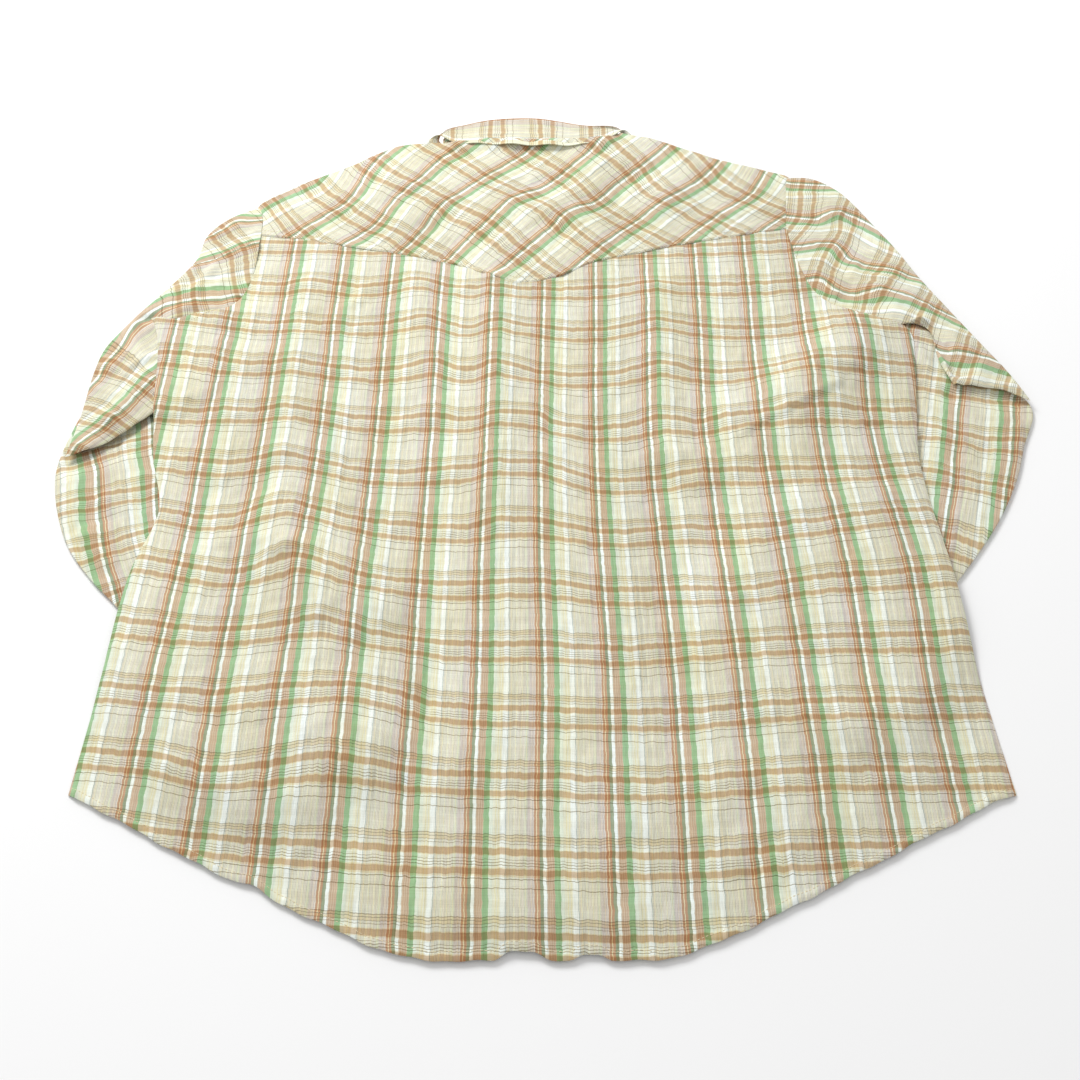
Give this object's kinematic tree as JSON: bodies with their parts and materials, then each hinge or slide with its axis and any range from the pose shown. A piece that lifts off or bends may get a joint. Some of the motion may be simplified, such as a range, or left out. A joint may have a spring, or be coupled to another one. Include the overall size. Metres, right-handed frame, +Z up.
{
  "type": "western snap shirt",
  "caption": "Long-sleeved plaid western shirt with a pointed back yoke, laid flat on its front with the sleeves tucked under.",
  "frame": {"origin": "centre of the shirt's outline as it lies, on the surface that it lies on", "axes": "+X to the right across the back as seen from the hem, +Y from the shirt tail to the collar, +Z up from the surface"},
  "size_m": [0.7732, 0.8356, 0.0253],
  "materials": {
    "plaid_cotton": "thin woven cotton, matt, cream ground with a tan, green and rust plaid",
    "snap_cap": "pearly, polished"
  },
  "bodies": {
    "root": {"back": "plaid_cotton", "back_yoke": "plaid_cotton", "left_front": "plaid_cotton", "right_front": "plaid_cotton", "front_placket": "plaid_cotton", "collar_band": "plaid_cotton", "collar_fall": "plaid_cotton", "left_sleeve": "plaid_cotton", "right_sleeve": "plaid_cotton", "left_forearm": "plaid_cotton", "left_cuff": "plaid_cotton", "right_forearm": "plaid_cotton", "right_cuff": "plaid_cotton", "front_snap_1": "snap_cap", "front_snap_2": "snap_cap", "front_snap_3": "snap_cap", "front_snap_4": "snap_cap", "front_snap_5": "snap_cap", "front_snap_6": "snap_cap", "front_snap_7": "snap_cap"}
  },
  "joints": []
}
